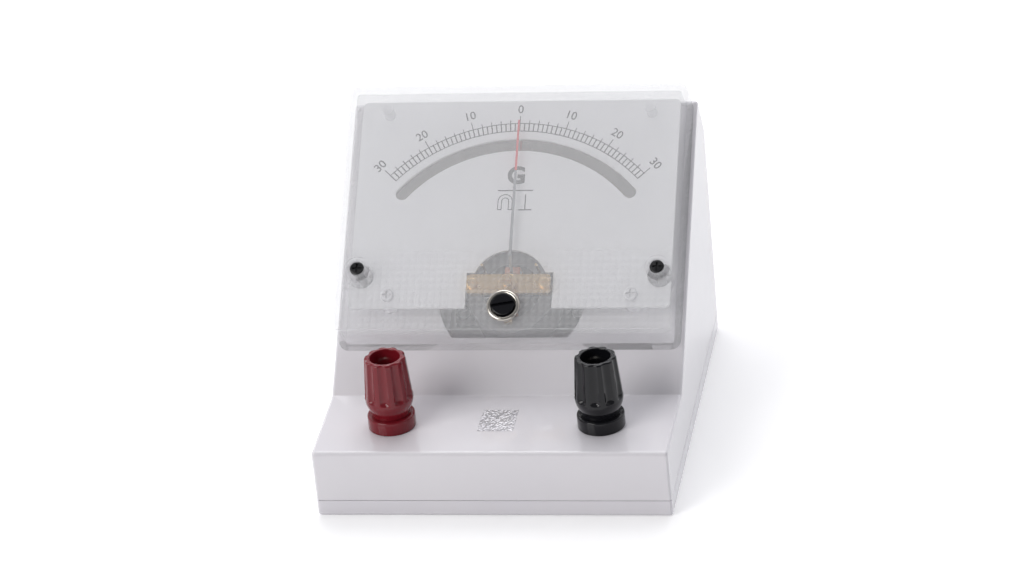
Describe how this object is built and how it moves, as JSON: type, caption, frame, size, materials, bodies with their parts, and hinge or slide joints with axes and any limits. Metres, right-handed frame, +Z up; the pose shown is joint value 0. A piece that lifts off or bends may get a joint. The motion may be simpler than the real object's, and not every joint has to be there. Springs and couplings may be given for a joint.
{
  "type": "galvanometer",
  "caption": "Desk-stand moving-coil galvanometer with a sloping clear-covered centre-zero dial, zero adjuster, and red and black 4 mm binding posts.",
  "frame": {"origin": "centre of the box round the whole object, on the surface that it stands on", "axes": "+Z up, +X to the right of a reader who faces the dial, +Y towards the back"},
  "size_m": [0.103, 0.1139, 0.0891],
  "materials": {
    "white_housing": "glossy moulded ABS",
    "white_base": "glossy moulded ABS",
    "zinc_screw": "zinc plated",
    "foil": "creased plain foil",
    "clear_cover": "clear moulded styrene, prismatic lower band",
    "black_screw": "blackened",
    "nickel": "nickel plated",
    "black_adjuster": "glossy",
    "spring_steel": "plain",
    "white_dial": "satin white sheet with black print",
    "mirror": "mirror strip",
    "brass": "turned and stamped",
    "black_frame": "moulded",
    "soft_iron": "blackened soft iron",
    "magnet": "ground magnet",
    "sapphire": "polished cup jewel",
    "aluminium": "thin strip",
    "enamelled_wire": "enamelled copper wire",
    "steel_pivot": "polished",
    "pointer_paint": "thin aluminium, red painted tip",
    "bronze_spring": "phosphor bronze strip",
    "tinned_brass": "tinned",
    "red_post": "glossy moulded",
    "black_post": "glossy moulded",
    "red_insulation": "soft insulation",
    "black_insulation": "soft insulation"
  },
  "bodies": {
    "stand": {"housing": "white_housing", "base_plate": "white_base", "base_screws": "zinc_screw", "foil_label": "foil", "meter_cover": "clear_cover", "cover_screws": "black_screw", "adjuster_ferrule": "nickel", "dial_plate": "white_dial", "mirror_strip": "mirror", "dial_screws": "brass", "movement_frame": "black_frame", "movement_screws": "zinc_screw", "yoke_ring": "soft_iron", "stop_pins": "brass", "core_magnet": "magnet", "front_bridge": "brass", "bridge_screws": "brass", "bridge_nuts": "brass", "front_terminal_tag": "brass", "front_jewel_screw": "brass", "rear_jewel_screw": "brass", "pivot_jewels": "sapphire", "lock_nuts": "brass", "rear_spring_arm": "brass", "red_collar": "red_post", "red_stud": "nickel", "red_inner_washer": "red_post", "red_post_nuts": "nickel", "red_solder_tag": "tinned_brass", "red_lead": "red_insulation", "black_collar": "black_post", "black_stud": "nickel", "black_inner_washer": "black_post", "black_post_nuts": "nickel", "black_solder_tag": "tinned_brass", "black_lead": "black_insulation"},
    "moving_coil": {"coil_former": "aluminium", "coil_winding": "enamelled_wire", "front_pivot": "steel_pivot", "rear_pivot": "steel_pivot", "pointer": "pointer_paint", "balance_weights": "brass", "front_hairspring": "bronze_spring", "rear_hairspring": "bronze_spring"},
    "zero_fork": {"zero_lever": "brass"},
    "zero_screw": {"zero_adjuster": "black_adjuster", "adjuster_clip": "spring_steel"},
    "red_bush": {"red_cap_insert": "nickel"},
    "red_clamp": {"red_cap": "red_post"},
    "black_bush": {"black_cap_insert": "nickel"},
    "black_clamp": {"black_cap": "black_post"}
  },
  "joints": [
    {"name": "pointer_swing", "type": "hinge", "parent": "stand", "child": "moving_coil", "pos_m": [0, 0.00074, 0.04096], "axis": [0, -0.6239, 0.7815], "range_deg": [-49, 49], "stiffness_Nm_per_rad": 0.00004, "deforming": ["front_hairspring", "rear_hairspring"]},
    {"name": "zero_adjuster_turn", "type": "hinge", "parent": "stand", "child": "zero_screw", "pos_m": [0, -0.00629, 0.03535], "axis": [0, -0.6239, 0.7815], "range_deg": [-45, 45]},
    {"name": "zero_lever_turn", "type": "hinge", "parent": "stand", "child": "zero_fork", "pos_m": [0, 0.00074, 0.04096], "axis": [0, -0.6239, 0.7815], "range_deg": [-8.5, 8.5]},
    {"name": "red_cap_lift", "type": "slide", "parent": "stand", "child": "red_bush", "axis": [0, 0, 1], "range_m": [0, 0.0045]},
    {"name": "red_cap_turn", "type": "hinge", "parent": "red_bush", "child": "red_clamp", "pos_m": [-0.0305, -0.04076, 0.03], "axis": [0, 0, 1], "range_deg": [0, 1620]},
    {"name": "black_cap_lift", "type": "slide", "parent": "stand", "child": "black_bush", "axis": [0, 0, 1], "range_m": [0, 0.0045]},
    {"name": "black_cap_turn", "type": "hinge", "parent": "black_bush", "child": "black_clamp", "pos_m": [0.0305, -0.04076, 0.03], "axis": [0, 0, 1], "range_deg": [0, 1620]}
  ],
  "couplings": [
    {"joint": "zero_lever_turn", "follows": "zero_adjuster_turn", "ratio": -0.165},
    {"joint": "red_cap_turn", "follows": "red_cap_lift", "rad_per_m": 6283.2},
    {"joint": "black_cap_turn", "follows": "black_cap_lift", "rad_per_m": 6283.2}
  ]
}
